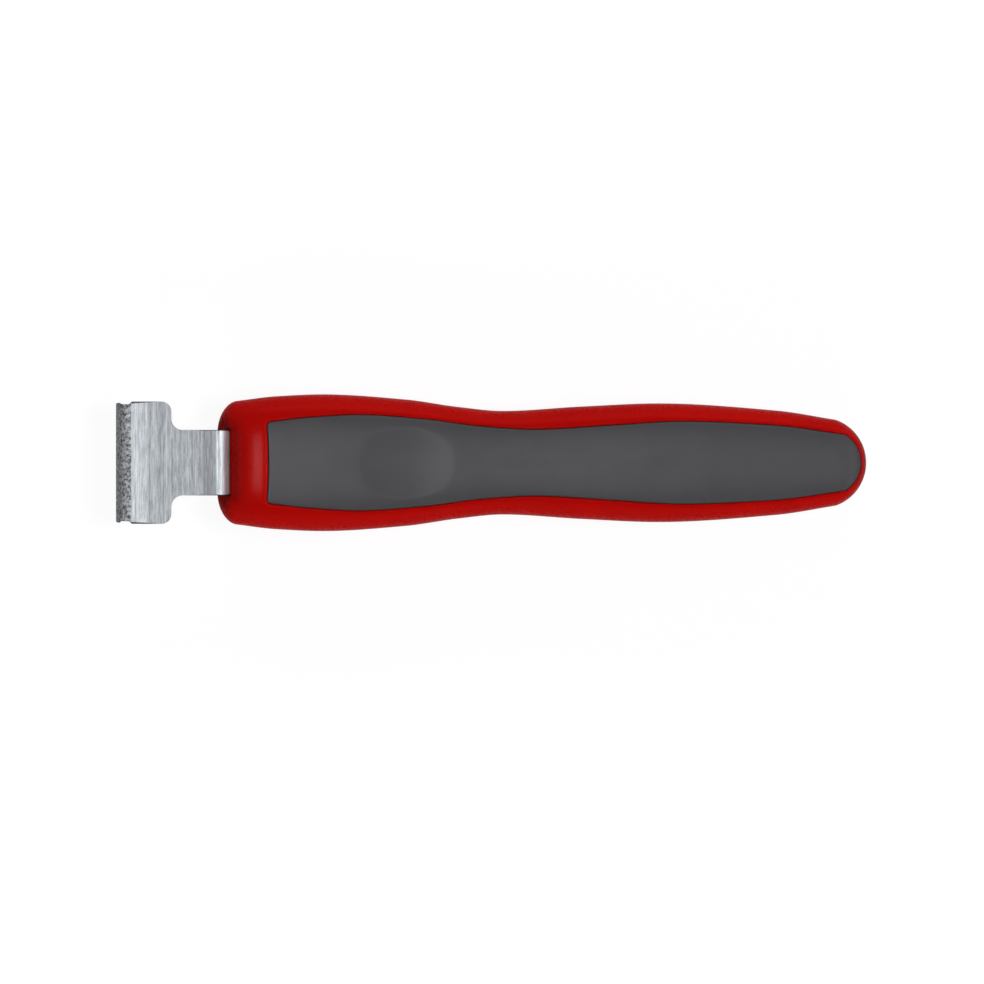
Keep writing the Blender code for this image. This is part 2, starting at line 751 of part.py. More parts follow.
def crease_places():
    """Places along the blank that need an edge across it: the grind, and the steps of each bend."""
    places = [LIP_GRIND_LENGTH]
    for start, (length, turn) in zip(segment_starts(), bend_segments()):
        if turn:
            places += [start + length * i / BEND_STEPS for i in range(BEND_STEPS + 1)]
    return places


def strip_thickness_below(along):
    """How far the strip's inner face lies below its middle surface: the lip is ground thin from inside."""
    full = STRIP_THICKNESS / 2
    ground = STRIP_THICKNESS - LIP_EDGE_THICKNESS
    return full - ground * max(1 - along / LIP_GRIND_LENGTH, 0)


def scraper_blade(material):
    """The flat blank, creased across, then bent to shape."""
    bm = bmesh.new()
    side = blank_side()
    outline = side + [(along, -half) for along, half in reversed(side)]
    bridge_rings(bm, [[(along, half, layer) for along, half in outline] for layer in (-1, 1)])
    for place in crease_places():
        geometry = bm.verts[:] + bm.edges[:] + bm.faces[:]
        bmesh.ops.bisect_plane(
            bm, geom=geometry, dist=FIT_GAP / 1000, plane_co=(place, 0, 0), plane_no=(1, 0, 0)
        )
    for vert in bm.verts:
        along = vert.co.x
        rise = STRIP_THICKNESS / 2 if vert.co.z > 0 else -strip_thickness_below(along)
        x, z = strip_place(along, rise)
        vert.co = Vector((x, vert.co.y, z))
    blade = make_object("scraper_blade", bm, material)

    bm = bmesh.new()
    for distance in tang_screw_places():
        low = PARTING_HEIGHT - STRIP_THICKNESS
        high = PARTING_HEIGHT + STRIP_THICKNESS
        post(bm, distance, SCREW_SHANK_RADIUS + FIT_GAP, low, high)
    combine(blade, make_cutter("tang_holes", bm), "DIFFERENCE")
    return blade


def strip_line(rise):
    """Points along the bent strip inside the handle, rise above its middle surface."""
    starts = segment_starts()
    places = [starts[3] - OVERRUN]
    for index in (3, 5):
        length = bend_segments()[index][0]
        places += [starts[index] + length * i / BEND_STEPS for i in range(BEND_STEPS + 1)]
    places.append(starts[7] + FIT_GAP)
    return [strip_place(place, rise) for place in places]


def strip_slot(name, sign):
    """Slot for the strip in the upper shell (sign 1) or the lower (sign -1), open towards the other shell."""
    line = strip_line(sign * (STRIP_THICKNESS / 2 + FIT_GAP))
    front = line[0][0]
    rear = line[-1][0]
    if sign > 0:
        away = PARTING_HEIGHT - OVERRUN
    else:
        away = STRIP_TOP_HEIGHT + OVERRUN
    bm = bmesh.new()
    side_prism(bm, line + [(rear, away), (front, away)], STEM_WIDTH + 2 * FIT_GAP)
    return make_cutter(name, bm)


def nose_block():
    """Part of the nose under the strip, which the lower shell carries up into the upper one's slot."""
    low = PARTING_HEIGHT - NOSE_FACE_RISE / 2
    front = SEAM_GAP / 2
    length = crank_end_distance() - front
    rings = []
    for i in range(NOSE_STEPS + 1):
        distance = front + length * (1 - math.cos(QUARTER_TURN * i / NOSE_STEPS))
        half = min(STEM_WIDTH / 2, half_width(distance) - FIT_GAP)
        offsets = [half * (1 - 2 * j / BLOCK_ROWS) for j in range(BLOCK_ROWS + 1)]
        top = [(NOSE_X + distance, offset, upper_surface(distance, offset)) for offset in offsets]
        rings.append([(NOSE_X + distance, half, low)] + top + [(NOSE_X + distance, -half, low)])
    bm = bmesh.new()
    bridge_rings(bm, rings)
    return make_cutter("nose_block", bm)


# Screws

def screw(name, distance, material):
    """Pan-head screw standing head down, with a cross recess."""
    seat = screw_seat(distance)
    head_edge = seat - SCREW_HEAD_HEIGHT / 2
    head_face = seat - SCREW_HEAD_HEIGHT
    crown = SCREW_HEAD_RADIUS - SCREW_HEAD_HEIGHT / 3
    tip = seat + SCREW_LENGTH
    point = SCREW_SHANK_RADIUS / 4
    bm = bmesh.new()
    profile = (
        (crown, head_face - FIT_GAP / 2),
        (SCREW_HEAD_RADIUS, head_edge),
        (SCREW_HEAD_RADIUS, seat - FIT_GAP / 2),
        (SCREW_SHANK_RADIUS, seat - FIT_GAP / 2),
        (SCREW_SHANK_RADIUS, tip - SCREW_POINT_LENGTH),
        (point, tip - FIT_GAP),
    )
    turned(bm, profile, (NOSE_X + distance, 0))
    item = make_object(name, bm, material)
    for across in (False, True):
        bm = bmesh.new()
        half_x = (SCREW_RECESS_SPAN if across else SCREW_RECESS_WIDTH) / 2
        half_y = (SCREW_RECESS_WIDTH if across else SCREW_RECESS_SPAN) / 2
        x = NOSE_X + distance
        plan = ((x - half_x, -half_y), (x + half_x, -half_y), (x + half_x, half_y), (x - half_x, half_y))
        low = head_face - SCREW_HEAD_HEIGHT
        high = head_face + SCREW_RECESS_DEPTH
        bridge_rings(bm, [[(px, py, z) for px, py in plan] for z in (low, high)])
        combine(item, make_cutter("drive_recess", bm), "DIFFERENCE")
    return item


def main():
    clear_scene()
    red = make_material("hard_red", (0.38, 0.005, 0.004), 0.35, 0)
    grey = make_material("soft_grey", (0.08, 0.08, 0.087), 0.8, 0)
    steel = make_material("brushed_steel", (0.55, 0.57, 0.59), 0.35, 1)
    zinc = make_material("zinc_screw", (0.6, 0.6, 0.58), 0.4, 1)
    scraper_blade(steel)
    upper_shell(red)
    lower_shell(red)
    upper_panel(grey)
    lower_panel(grey)
    for name, distance in zip(("tang_screw_front", "tang_screw_rear", "tail_screw"), screw_places()):
        screw(name, distance, zinc)
    settle()


main()
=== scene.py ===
import math

import bmesh
import bpy
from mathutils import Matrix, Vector


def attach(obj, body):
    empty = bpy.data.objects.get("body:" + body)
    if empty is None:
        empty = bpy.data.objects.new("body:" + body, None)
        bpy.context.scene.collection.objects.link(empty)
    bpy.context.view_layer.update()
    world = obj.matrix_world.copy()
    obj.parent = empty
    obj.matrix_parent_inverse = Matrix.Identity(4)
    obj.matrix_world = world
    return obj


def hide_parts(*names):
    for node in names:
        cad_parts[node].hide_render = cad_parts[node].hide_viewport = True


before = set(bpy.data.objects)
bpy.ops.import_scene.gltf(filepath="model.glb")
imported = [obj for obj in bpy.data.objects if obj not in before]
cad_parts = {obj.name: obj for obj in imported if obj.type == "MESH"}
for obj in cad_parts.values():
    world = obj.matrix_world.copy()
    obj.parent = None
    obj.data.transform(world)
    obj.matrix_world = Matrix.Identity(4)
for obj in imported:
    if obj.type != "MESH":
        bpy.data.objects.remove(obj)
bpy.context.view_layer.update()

MM = 0.001
QUARTER_TURN = math.pi / 2

# Handle outline seen from above, from the nose back to the tail
HANDLE_LENGTH = 132.8 * MM
NOSE_WIDTH = 25.4 * MM
CHEEK_WIDTH = 27.2 * MM
PALM_WIDTH = 28.0 * MM
SHOULDER_WIDTH = 25.9 * MM
NECK_WIDTH = 22.9 * MM
WAIST_WIDTH = 21.2 * MM
HIP_WIDTH = 23.0 * MM
BULGE_WIDTH = 24.3 * MM
TAPER_WIDTH = 21.4 * MM
TAIL_WIDTH = 17.6 * MM
OUTLINE_PLACE_SHARES = (0.033, 0.09, 0.163, 0.29, 0.37, 0.44, 0.56, 0.68, 0.86, 0.953)
NOSE_CORNER_LENGTH = 4.05 * MM
NOSE_CORNER_WIDTH = 6.5 * MM
TAIL_TIP_WIDTH = 0.3 * MM

# Handle seen from the side, measured from the parting plane between the shells
PARTING_HEIGHT = 9.0 * MM
NOSE_RISE = 9.2 * MM
PALM_RISE = 9.5 * MM
WAIST_RISE = 8.8 * MM
BULGE_RISE = 9.1 * MM
TAIL_RISE = 7.9 * MM
RISE_PLACE_SHARES = (0.06, 0.19, 0.45, 0.69, 0.95)
UNDER_DEPTH = 9.7 * MM
TAIL_DEPTH = 8.4 * MM
DEPTH_PLACE_SHARES = (0.0, 0.8, 0.95)
NOSE_ROUND_LENGTH = 10.0 * MM
NOSE_FACE_RISE = 1.0 * MM
NOSE_FULLNESS = 2.0
SCOOP_DEPTH_SHARE = 0.62
SCOOP_START = 1.7 * MM
SCOOP_END = 5.8 * MM
SCOOP_FLOOR_WIDTH = 12.0 * MM
SCOOP_SIDE_RUN = 3.2 * MM
TAIL_ROUND_LENGTH = 6.0 * MM
TAIL_FACE_RISE = 0.2 * MM
TAIL_FULLNESS = 2.6
UPPER_SQUARENESS = 3.4
LOWER_SQUARENESS = 2.5

# Soft grip panels
PANEL_FRONT_SETBACK = 10.3 * MM
PANEL_TAIL_SETBACK = 1.15 * MM
PANEL_FRONT_WIDTH = 16.4 * MM
PANEL_CHEEK_WIDTH = 18.2 * MM
PANEL_PALM_WIDTH = 19.5 * MM
PANEL_SHOULDER_WIDTH = 17.6 * MM
PANEL_NECK_WIDTH = 14.8 * MM
PANEL_WAIST_WIDTH = 13.5 * MM
PANEL_HIP_WIDTH = 15.2 * MM
PANEL_BULGE_WIDTH = 16.8 * MM
PANEL_TAPER_WIDTH = 15.3 * MM
PANEL_TAIL_WIDTH = 11.4 * MM
PANEL_PLACE_SHARES = (0.0, 0.06, 0.155, 0.27, 0.36, 0.45, 0.58, 0.70, 0.85, 0.973)
PANEL_TIP_WIDTH = 0.3 * MM
PANEL_THICKNESS = 2.0 * MM
PANEL_CORNER_RADIUS = 0.7 * MM
PANEL_FRONT_BOW = 0.3 * MM
PANEL_EDGE_ROUND = 0.35 * MM
LOWER_PANEL_PROUD = 0.2 * MM
DISH_PLACE = 38.7 * MM
DISH_RADIUS = 9.9 * MM
DISH_DEPTH = 0.9 * MM
DISH_RIM_SOFTNESS = 0.03 * MM

# Blade strip
BLADE_REACH = 20.8 * MM
STRIP_THICKNESS = 1.5 * MM
STRIP_TOP_HEIGHT = 16.6 * MM
STRIP_EDGE_ROUND = 0.42 * MM
HEAD_WIDTH = 25.0 * MM
HEAD_LENGTH = 8.1 * MM
HEAD_CORNER_RADIUS = 2.0 * MM
STEM_WIDTH = 13.4 * MM
STEM_FILLET_RADIUS = 2.3 * MM
LIP_WIDTH = 24.5 * MM
LIP_LENGTH = 4.2 * MM
LIP_ANGLE = math.radians(76)
LIP_BEND_RADIUS = 1.72 * MM
LIP_GRIND_LENGTH = 2.2 * MM
LIP_EDGE_THICKNESS = 0.3 * MM
NOTCH_DEPTH = 0.7 * MM
NOTCH_START = 0.9 * MM
NOTCH_RUN = 0.7 * MM
CRANK_SETBACK = 0.1 * MM
CRANK_ANGLE = math.radians(76)
CRANK_RADIUS = 1.2 * MM
TANG_WIDTH = 10.8 * MM
TANG_LENGTH = 44.5 * MM
TANG_SHOULDER = 2.0 * MM

# Seams, rims and overruns of the dressed pieces
SEAM_GAP = 0.002 * MM
SEAM_ROUND = 0.2 * MM
GROOVE_GAP = 0.1 * MM
RIM_ROUND_WIDTH = 1.1 * MM
RIM_ROUND_DEPTH = 0.3 * MM
RIM_REACH_SHARE = 0.45
SLOT_GAP = 0.12 * MM
OVERRUN = 3.0 * MM
MERGE_DISTANCE = 0.001 * MM

# Counts of facets, and how much the shell's rings crowd towards its outer edge
FRONT_STEPS = 16
CORNER_STEPS = 8
SIDE_STEPS = 250
TIP_STEPS = 30
RIM_ROUND_STEPS = 7
RIM_RINGS = 44
RIM_CROWDING = 2.6
PANEL_RINGS = 26
FLOOR_RINGS = 5
ROUND_STEPS = 4
BEVEL_STEPS = 3
BEND_STEPS = 14
BLANK_STEPS = 10
BLOCK_STEPS = 24

# Counts of points on the loops that the rings are read from
SIDE_POINTS = 3000
ARC_POINTS = 300
CORNER_POINTS = 32

# Shading: edges sharper than these angles stay sharp, and large faces rule the strip's normals
SHARP_DEGREES = 38
STRIP_SHARP_DEGREES = 50
FLAT_FACE_WEIGHT = 90

# Camera: the photograph's scale, the height it holds at, and where its middle falls on the tool
PHOTO_SIDE_PX = 984
PHOTO_MIDDLE_PX = 492
TOOL_MIDDLE_PX = (490.9, 462.7)
MM_PER_PX = 0.2045
SCALE_HEIGHT = 1.4 * PARTING_HEIGHT
CAMERA_DISTANCE = 4.0
SENSOR_MM = 36

# Lights as (name, place, size, power in watts, side of the materials that they light)
LIGHTS = (
    ("soft_key", (0.65, 0, 1.4), (0.5, 0.5), 11.5, "matte"),
    ("soft_upper", (0, 1.4, 0.56), (1.0, 0.4), 12.5, "matte"),
    ("soft_lower", (0, -1.4, 0.56), (1.0, 0.4), 12.5, "matte"),
    ("card_left", (-0.48, 0, 1.4), (0.35, 0.4), 8.2, "glossy"),
    ("card_right", (1.05, 0, 0.98), (0.9, 1.3), 4.2, "glossy"),
)

# World: its even light, and pale walls that reflections see, fading out upwards
WORLD_LIGHT = 0.12
WALL_LIGHT = 0.95
WALL_FADE = (0.6, 0.85)

# Floor: its size and drop, its tones as lit and as mirrored in the tool, and the glow that the camera sees
FLOOR_HALF_SIDE = 2
FLOOR_DROP = 0.02 * MM
FLOOR_TONE = 0.6
FLOOR_MIRRORED_TONE = 0.35
FLOOR_GLOW = 1.13
FLOOR_GLOW_SHARE = 0.8

# Place of the nose's front, with the tool's length centred on the origin
NOSE_X = (BLADE_REACH - HANDLE_LENGTH) / 2

# Places that match each other on the panel's edge and on the handle's outline
CHEEK_ON_PANEL = 2 * PANEL_FRONT_SETBACK
CHEEK_ON_OUTLINE = 1.9 * PANEL_FRONT_SETBACK
TAIL_MATCH_SHARE = 0.8

# Places in segment_starts where the strip's stretches start or end
HEAD_START = 2
CRANK_START = 3
LOWER_CRANK_START = 5
TANG_START = 6
TANG_END = 7

# A face of the flat blank that is less level than this is a sheared edge or its round, which takes the
# darker edge steel with its painted shade
SHEARED_LEVEL = 0.9

# Where the strip's dark rough lip ends, and where the bands of painted highlight and shade behind it end
ROUGH_LIP_LENGTH = 3.3 * MM
ROUGH_LIP_X = NOSE_X - BLADE_REACH + ROUGH_LIP_LENGTH
ROUGH_LIP_BLUR = 0.1 * MM
CRANK_X = NOSE_X + 2 * CRANK_SETBACK

# Painted highlight and shade in bands across the strip, from the dark lip's end to the nose, as (share,
# tone)
PAINTED_LIGHT_BANDS = (
    # Painted highlight by the lip's bend, a middle tone, painted shade on the stem, then a painted highlight
    # on the crank's bend
    (0, 0.64),
    (0.17, 0.66),
    (0.2, 0.5),
    (0.82, 0.48),
    (0.84, 0.36),
    (0.93, 0.38),
    (0.97, 0.48),
    (1, 1.15),
)


# Curves that the outline and the side view follow

def smooth_line(places, values):
    """Return a curve through the values that never swings past them."""
    rates = [(values[i + 1] - values[i]) / (places[i + 1] - places[i]) for i in range(len(places) - 1)]
    slopes = [rates[0]]
    for before, after in zip(rates, rates[1:]):
        slopes.append(2 * before * after / (before + after) if before * after > 0 else 0)
    slopes.append(rates[-1])

    def value_at(place):
        i = 0
        while i < len(places) - 2 and place > places[i + 1]:
            i += 1
        span = places[i + 1] - places[i]
        t = (place - places[i]) / span
        rise = 3 * t ** 2 - 2 * t ** 3
        lead = (t ** 3 - 2 * t ** 2 + t) * span * slopes[i]
        trail = (t ** 3 - t ** 2) * span * slopes[i + 1]
        return (1 - rise) * values[i] + rise * values[i + 1] + lead + trail

    return value_at


def places_along(shares, length):
    return [share * length for share in shares]


def quarter_round(distance, length, fullness=2.0):
    """Height share of a quarter round: 0 at its tip, 1 where it runs out level; fullness 2 is an ellipse."""
    left = min(max(1 - distance / length, 0), 1)
    return (1 - left ** fullness) ** (1 / fullness)


def end_arc(distance, reach, half_width_there):
    """Half width at a distance from the tip, on the arc that has the given half width at reach from it."""
    radius = (reach ** 2 + half_width_there ** 2) / (2 * reach)
    return math.sqrt(max(radius ** 2 - (radius - distance) ** 2, 0))


outline_width = smooth_line(
    places_along(OUTLINE_PLACE_SHARES, HANDLE_LENGTH),
    (NOSE_WIDTH, CHEEK_WIDTH, PALM_WIDTH, SHOULDER_WIDTH, NECK_WIDTH, WAIST_WIDTH, HIP_WIDTH, BULGE_WIDTH,
     TAPER_WIDTH, TAIL_WIDTH),
)
crown_rise = smooth_line(
    places_along(RISE_PLACE_SHARES, HANDLE_LENGTH),
    (NOSE_RISE, PALM_RISE, WAIST_RISE, BULGE_RISE, TAIL_RISE),
)
keel_depth = smooth_line(
    places_along(DEPTH_PLACE_SHARES, HANDLE_LENGTH),
    (UNDER_DEPTH, UNDER_DEPTH, TAIL_DEPTH),
)
PANEL_LENGTH = HANDLE_LENGTH - PANEL_FRONT_SETBACK - PANEL_TAIL_SETBACK
panel_width = smooth_line(
    places_along(PANEL_PLACE_SHARES, PANEL_LENGTH),
    (PANEL_FRONT_WIDTH, PANEL_CHEEK_WIDTH, PANEL_PALM_WIDTH, PANEL_SHOULDER_WIDTH, PANEL_NECK_WIDTH,
     PANEL_WAIST_WIDTH, PANEL_HIP_WIDTH, PANEL_BULGE_WIDTH, PANEL_TAPER_WIDTH, PANEL_TAIL_WIDTH),
)
TAIL_ARC_REACH = HANDLE_LENGTH * (1 - OUTLINE_PLACE_SHARES[-1])
PANEL_ARC_REACH = PANEL_LENGTH * (1 - PANEL_PLACE_SHARES[-1])


def half_width(distance):
    """Half width of the handle at a distance behind its nose."""
    width = outline_width(distance) / 2
    width -= NOSE_CORNER_WIDTH * (1 - quarter_round(distance, NOSE_CORNER_LENGTH))
    from_tail = HANDLE_LENGTH - distance
    if from_tail < TAIL_ARC_REACH:
        width = end_arc(from_tail, TAIL_ARC_REACH, TAIL_WIDTH / 2)
    return max(width, TAIL_TIP_WIDTH / 2)


def rounded_height(height, distance):
    """Height from the parting plane, rounded down towards the nose and the tail."""
    nose = quarter_round(distance, NOSE_ROUND_LENGTH, NOSE_FULLNESS)
    tail = quarter_round(HANDLE_LENGTH - distance, TAIL_ROUND_LENGTH, TAIL_FULLNESS)
    if nose < 1:
        return NOSE_FACE_RISE + (height - NOSE_FACE_RISE) * nose
    return TAIL_FACE_RISE + (height - TAIL_FACE_RISE) * tail


def section_share(offset, width, squareness):
    """Height share across the handle: 1 on the centre line, 0 at the half width."""
    share = min(abs(offset) / width, 1)
    return (1 - share ** squareness) ** (1 / squareness)


def ease(share):
    """Smooth step from 0 to 1."""
    share = min(max(share, 0), 1)
    return share ** 2 * (3 - 2 * share)


def scoop_share(distance, offset):
    """Share of its rise that the nose loses in the hollow round the strip, steepest beside the strip."""
    behind = min(max((distance - SCOOP_START) / (SCOOP_END - SCOOP_START), 0), 1)
    beside = ease((abs(offset) - SCOOP_FLOOR_WIDTH / 2) / SCOOP_SIDE_RUN)
    return SCOOP_DEPTH_SHARE * (1 - behind) ** 2 * (1 - beside)


def upper_surface(distance, offset):
    """Height of the handle's thumb side."""
    rise = rounded_height(crown_rise(distance), distance) * (1 - scoop_share(distance, offset))
    return PARTING_HEIGHT + rise * section_share(offset, half_width(distance), UPPER_SQUARENESS)


def lower_surface(distance, offset):
    """Height of the handle's finger side, flat where it would pass below the land."""
    depth = rounded_height(keel_depth(distance), distance)
    height = PARTING_HEIGHT - depth * section_share(offset, half_width(distance), LOWER_SQUARENESS)
    return max(height, LOWER_PANEL_PROUD)


def panel_half_width(distance):
    """Half width of the grip panels at a distance behind their front edge."""
    from_tip = PANEL_LENGTH - distance
    if from_tip < PANEL_ARC_REACH:
        return max(end_arc(from_tip, PANEL_ARC_REACH, PANEL_TAIL_WIDTH / 2), PANEL_TIP_WIDTH / 2)
    return panel_width(distance) / 2


def dish_ball():
    """Radius, distance and height of the ball that hollows the thumb dish, square to the crown there."""
    radius = (DISH_RADIUS ** 2 + DISH_DEPTH ** 2) / (2 * DISH_DEPTH)
    ahead = upper_surface(DISH_PLACE - DISH_RADIUS / 2, 0)
    behind = upper_surface(DISH_PLACE + DISH_RADIUS / 2, 0)
    fall = (ahead - behind) / DISH_RADIUS
    lift = radius - DISH_DEPTH
    return radius, DISH_PLACE + lift * fall, (ahead + behind) / 2 + lift


BALL_RADIUS, BALL_PLACE, BALL_HEIGHT = dish_ball()


def dish_fall(distance, offset):
    """How far the thumb dish lies below the panel's crown, with a softened rim."""
    away = math.hypot(distance - BALL_PLACE, offset)
    if away > 2 * DISH_RADIUS:
        return 0
    depth = upper_surface(distance, offset) - BALL_HEIGHT + math.sqrt(BALL_RADIUS ** 2 - away ** 2)
    return (depth + math.sqrt(depth ** 2 + 4 * DISH_RIM_SOFTNESS ** 2)) / 2


# Matching half loops round the panel and round the handle, as (distance, offset) points

class Loop:
    """A line of points that can be read at any share of its length."""

    def __init__(self, points):
        self.points = points
        self.runs = [0]
        for a, b in zip(points, points[1:]):
            self.runs.append(self.runs[-1] + math.dist(a, b))

    def share_where(self, test):
        for point, run in zip(self.points, self.runs):
            if test(point):
                return run / self.runs[-1]
        return 1

    def at(self, share):
        run = share * self.runs[-1]
        low, high = 0, len(self.runs) - 1
        while high - low > 1:
            middle = (low + high) // 2
            if self.runs[middle] <= run:
                low = middle
            else:
                high = middle
        t = (run - self.runs[low]) / (self.runs[high] - self.runs[low])
        a, b = self.points[low], self.points[high]
        return (a[0] + (b[0] - a[0]) * t, a[1] + (b[1] - a[1]) * t)


def panel_loop():
    """Half the panel's edge, from the middle of its front to its tail tip."""
    corner = PANEL_CORNER_RADIUS
    front_half = panel_half_width(corner) - corner
    points = []
    for i in range(ARC_POINTS):
        offset = front_half * i / ARC_POINTS
        bow = PANEL_FRONT_BOW * (1 - (offset / front_half) ** 2)
        points.append((PANEL_FRONT_SETBACK + bow, offset))
    for i in range(CORNER_POINTS):
        turn = QUARTER_TURN * i / CORNER_POINTS
        distance = PANEL_FRONT_SETBACK + corner * (1 - math.cos(turn))
        points.append((distance, front_half + corner * math.sin(turn)))
    straight = PANEL_LENGTH - PANEL_ARC_REACH - corner
    for i in range(SIDE_POINTS):
        step = corner + straight * i / SIDE_POINTS
        points.append((PANEL_FRONT_SETBACK + step, panel_half_width(step)))
    for i in range(ARC_POINTS + 1):
        step = PANEL_LENGTH - PANEL_ARC_REACH * math.cos(QUARTER_TURN * i / ARC_POINTS)
        points.append((PANEL_FRONT_SETBACK + step, panel_half_width(step)))
    points.append((PANEL_FRONT_SETBACK + PANEL_LENGTH, 0))
    return Loop(points)


def handle_loop():
    """Half the handle's outline, from the middle of its nose to its tail tip."""
    points = [(0, half_width(0) * i / CORNER_STEPS) for i in range(CORNER_STEPS)]
    for i in range(ARC_POINTS):
        step = NOSE_CORNER_LENGTH * (1 - math.cos(QUARTER_TURN * i / ARC_POINTS))
        points.append((step, half_width(step)))
    straight = HANDLE_LENGTH - TAIL_ARC_REACH - NOSE_CORNER_LENGTH
    for i in range(SIDE_POINTS):
        step = NOSE_CORNER_LENGTH + straight * i / SIDE_POINTS
        points.append((step, half_width(step)))
    for i in range(ARC_POINTS + 1):
        step = HANDLE_LENGTH - TAIL_ARC_REACH * math.cos(QUARTER_TURN * i / ARC_POINTS)
        points.append((step, half_width(step)))
    points.append((HANDLE_LENGTH, 0))
    return Loop(points)


def mirrored(half):
    """A whole closed loop from its half, without doubling the two points on the centre line."""
    return half + [(distance, -offset) for distance, offset in reversed(half[1:-1])]


def matched_loops():
    """The panel's edge and the handle's outline as closed loops of matching points."""
    inner = panel_loop()
    outer = handle_loop()
    corner_offset = panel_half_width(PANEL_CORNER_RADIUS) - PANEL_CORNER_RADIUS
    tail_start = HANDLE_LENGTH - TAIL_ARC_REACH * TAIL_MATCH_SHARE
    corner = inner.share_where(lambda p: p[1] > corner_offset)
    after = inner.share_where(lambda p: p[0] > PANEL_FRONT_SETBACK + PANEL_CORNER_RADIUS)
    cheek = inner.share_where(lambda p: p[0] > CHEEK_ON_PANEL)
    arc = inner.share_where(lambda p: p[0] > PANEL_FRONT_SETBACK + PANEL_LENGTH - PANEL_ARC_REACH)
    follow = smooth_line(
        (0, corner, after, cheek, arc, 1),
        (
            0,
            outer.share_where(lambda p: p[0] > NOSE_CORNER_LENGTH / 2),
            outer.share_where(lambda p: p[0] > NOSE_CORNER_LENGTH),
            outer.share_where(lambda p: p[0] > CHEEK_ON_OUTLINE),
            outer.share_where(lambda p: p[0] > tail_start),
            1,
        ),
    )
    shares = [corner * i / FRONT_STEPS for i in range(FRONT_STEPS)]
    shares += [corner + (after - corner) * i / CORNER_STEPS for i in range(CORNER_STEPS)]
    shares += [after + (arc - after) * i / SIDE_STEPS for i in range(SIDE_STEPS)]
    shares += [arc + (1 - arc) * i / TIP_STEPS for i in range(TIP_STEPS + 1)]
    return (
        mirrored([inner.at(share) for share in shares]),
        mirrored([outer.at(follow(share)) for share in shares]),
    )


PANEL_EDGE, HANDLE_EDGE = matched_loops()


def moved_out(point, towards, reach):
    """The point moved by reach in the direction of another."""
    span = math.dist(point, towards)
    share = reach / span
    return (point[0] + (towards[0] - point[0]) * share, point[1] + (towards[1] - point[1]) * share)


def blend(points, others, share):
    """Points that lie at a share of the way from the first points to the others."""
    return [(p[0] + (q[0] - p[0]) * share, p[1] + (q[1] - p[1]) * share) for p, q in zip(points, others)]


def spine_point(point):
    """Place on the panel's middle line that a point of its edge shrinks to."""
    front = PANEL_FRONT_SETBACK + PANEL_FRONT_WIDTH / 2
    rear = PANEL_FRONT_SETBACK + PANEL_LENGTH - PANEL_TAIL_WIDTH / 2
    return (min(max(point[0], front), rear), 0)


# Mesh tools

def shade(mesh, sharp_degrees):
    """Shade a mesh smooth but for its sharp edges."""
    mesh.shade_smooth()
    mesh.set_sharp_from_angle(angle=math.radians(sharp_degrees))


def make_object(name, bm, sharp_degrees=SHARP_DEGREES):
    bmesh.ops.remove_doubles(bm, verts=bm.verts, dist=MERGE_DISTANCE)
    bmesh.ops.dissolve_degenerate(bm, edges=bm.edges, dist=MERGE_DISTANCE)
    bmesh.ops.recalc_face_normals(bm, faces=bm.faces)
    mesh = bpy.data.meshes.new(name)
    bm.to_mesh(mesh)
    bm.free()
    shade(mesh, sharp_degrees)
    item = bpy.data.objects.new(name, mesh)
    bpy.context.scene.collection.objects.link(item)
    return item


def bridge_rings(bm, rings, cap_first=True, cap_last=True):
    """Join closed rings of the same count by quads."""
    layers = [[bm.verts.new(point) for point in ring] for ring in rings]
    count = len(layers[0])
    for front, back in zip(layers, layers[1:]):
        for i in range(count):
            j = (i + 1) % count
            bm.faces.new((front[i], front[j], back[j], back[i]))
    if cap_first:
        bm.faces.new(layers[0])
    if cap_last:
        bm.faces.new(layers[-1])


def side_prism(bm, outline, width):
    rings = [[(x, side, z) for x, z in outline] for side in (-width / 2, width / 2)]
    bridge_rings(bm, rings)


def bake_boolean(item, other, operation):
    """Apply one Boolean and remove the other object."""
    step = item.modifiers.new("cut", "BOOLEAN")
    step.operation = operation
    step.solver = "EXACT"
    step.object = other
    graph = bpy.context.evaluated_depsgraph_get()
    mesh = bpy.data.meshes.new_from_object(item.evaluated_get(graph))
    item.modifiers.clear()
    item.data = mesh
    shade(mesh, SHARP_DEGREES)
    bpy.data.objects.remove(other, do_unlink=True)


# Red shells

def rim_width(point, outer):
    """Width of the rounded rim at a point of the pocket's edge, less where the shell is narrow."""
    return min(RIM_ROUND_WIDTH, RIM_REACH_SHARE * math.dist(point, outer))


